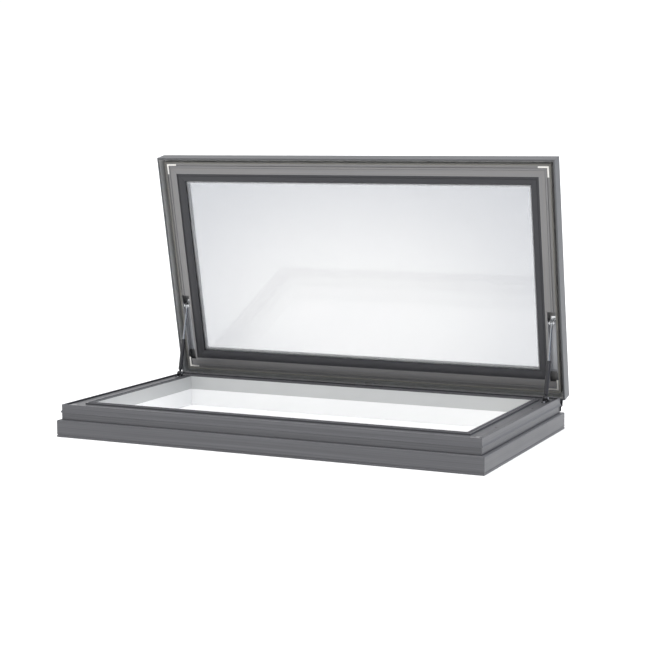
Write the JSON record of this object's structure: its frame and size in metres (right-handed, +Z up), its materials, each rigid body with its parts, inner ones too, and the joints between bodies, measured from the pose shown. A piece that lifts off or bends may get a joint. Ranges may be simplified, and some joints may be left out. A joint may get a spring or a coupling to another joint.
{
  "type": "roof skylight",
  "caption": "Hinged roof-access skylight: insulated aluminium kerb with a double-glazed lid that swings up at the rear on hinges, with a telescopic stay at each side.",
  "frame": {"origin": "centre of the clear opening, on the plane where the kerb bears on the roof upstand", "axes": "+X along the hinge line, +Y from the front to the hinged rear, +Z up"},
  "size_m": [2, 1.1893, 1.2373],
  "materials": {
    "powder_coat": "satin powder coat",
    "foam": "cut foam",
    "lining": "satin white",
    "mill_aluminium": "mill",
    "carrier_aluminium": "mill, extrusion lines",
    "corner_key": "bright",
    "dark_coat": "satin powder coat",
    "black_seal": "matt",
    "brush_pile": "woven pile",
    "packer": "moulded",
    "glass": "clear",
    "spacer": "satin",
    "black_steel": "satin black",
    "zinc_steel": "zinc plated",
    "bright_steel": "bright",
    "stay_coat": "satin",
    "rod_chrome": "polished"
  },
  "bodies": {
    "kerb": {"fascia_front": "powder_coat", "fascia_right": "powder_coat", "fascia_rear": "powder_coat", "fascia_left": "powder_coat", "kerb_front": "powder_coat", "kerb_right": "powder_coat", "kerb_rear": "powder_coat", "kerb_left": "powder_coat", "insulation_front": "foam", "insulation_right": "foam", "insulation_rear": "foam", "insulation_left": "foam", "lining_front": "lining", "lining_right": "lining", "lining_rear": "lining", "lining_left": "lining", "lining_trim": "lining", "kerb_corner_cleats": "mill_aluminium", "rim_gasket": "black_seal", "hinge_kerb_leaf_left": "black_steel", "hinge_kerb_leaf_middle": "black_steel", "hinge_kerb_leaf_right": "black_steel", "hinge_pins": "zinc_steel", "hinge_kerb_screws": "zinc_steel", "stay_kerb_bracket_left": "black_steel", "stay_kerb_bracket_right": "black_steel", "stay_kerb_pins": "zinc_steel", "stay_kerb_screws": "zinc_steel"},
    "lid": {"lid_skirt_front": "powder_coat", "lid_skirt_right": "powder_coat", "lid_skirt_rear": "powder_coat", "lid_skirt_left": "powder_coat", "lid_carrier_front": "carrier_aluminium", "lid_carrier_right": "carrier_aluminium", "lid_carrier_rear": "carrier_aluminium", "lid_carrier_left": "carrier_aluminium", "lid_bead_front": "dark_coat", "lid_bead_right": "dark_coat", "lid_bead_rear": "dark_coat", "lid_bead_left": "dark_coat", "lid_corner_keys": "corner_key", "brush_seal": "brush_pile", "weather_seal": "black_seal", "setting_blocks": "packer", "outer_pane": "glass", "inner_pane": "glass", "spacer_bar": "spacer", "edge_seal": "black_seal", "hinge_lid_leaf_left": "black_steel", "hinge_lid_leaf_middle": "black_steel", "hinge_lid_leaf_right": "black_steel", "hinge_lid_screws": "zinc_steel", "stay_lid_bracket_left": "zinc_steel", "stay_lid_bracket_right": "zinc_steel", "stay_lid_bolts": "bright_steel", "stay_channels": "bright_steel"},
    "stay_tube_left_body": {"stay_tube_left": "stay_coat"},
    "stay_rod_left_body": {"stay_rod_left": "rod_chrome"},
    "stay_tube_right_body": {"stay_tube_right": "stay_coat"},
    "stay_rod_right_body": {"stay_rod_right": "rod_chrome"}
  },
  "joints": [
    {"name": "lid_hinge", "type": "hinge", "parent": "kerb", "child": "lid", "pos_m": [0, 0.565, 0.0655], "axis": [1, 0, 0], "range_deg": [0, 78.44]},
    {"name": "stay_turn_left", "type": "hinge", "parent": "kerb", "child": "stay_tube_left_body", "pos_m": [-0.945, 0.44, 0.096], "axis": [1, 0, 0], "range_deg": [0, 104.46]},
    {"name": "stay_slide_left", "type": "slide", "parent": "stay_tube_left_body", "child": "stay_rod_left_body", "axis": [0, 0.2331, 0.9725], "range_m": [-0.10273, 0]},
    {"name": "stay_turn_right", "type": "hinge", "parent": "kerb", "child": "stay_tube_right_body", "pos_m": [0.945, 0.44, 0.096], "axis": [1, 0, 0], "range_deg": [0, 104.46]},
    {"name": "stay_slide_right", "type": "slide", "parent": "stay_tube_right_body", "child": "stay_rod_right_body", "axis": [0, 0.2331, 0.9725], "range_m": [-0.10273, 0]}
  ],
  "couplings": [
    {"joint": "stay_turn_left", "follows": "lid_hinge", "ratio": 1.3253},
    {"joint": "stay_slide_left", "follows": "lid_hinge", "m_per_rad": -0.074671},
    {"joint": "stay_turn_right", "follows": "lid_hinge", "ratio": 1.3253},
    {"joint": "stay_slide_right", "follows": "lid_hinge", "m_per_rad": -0.074671}
  ]
}
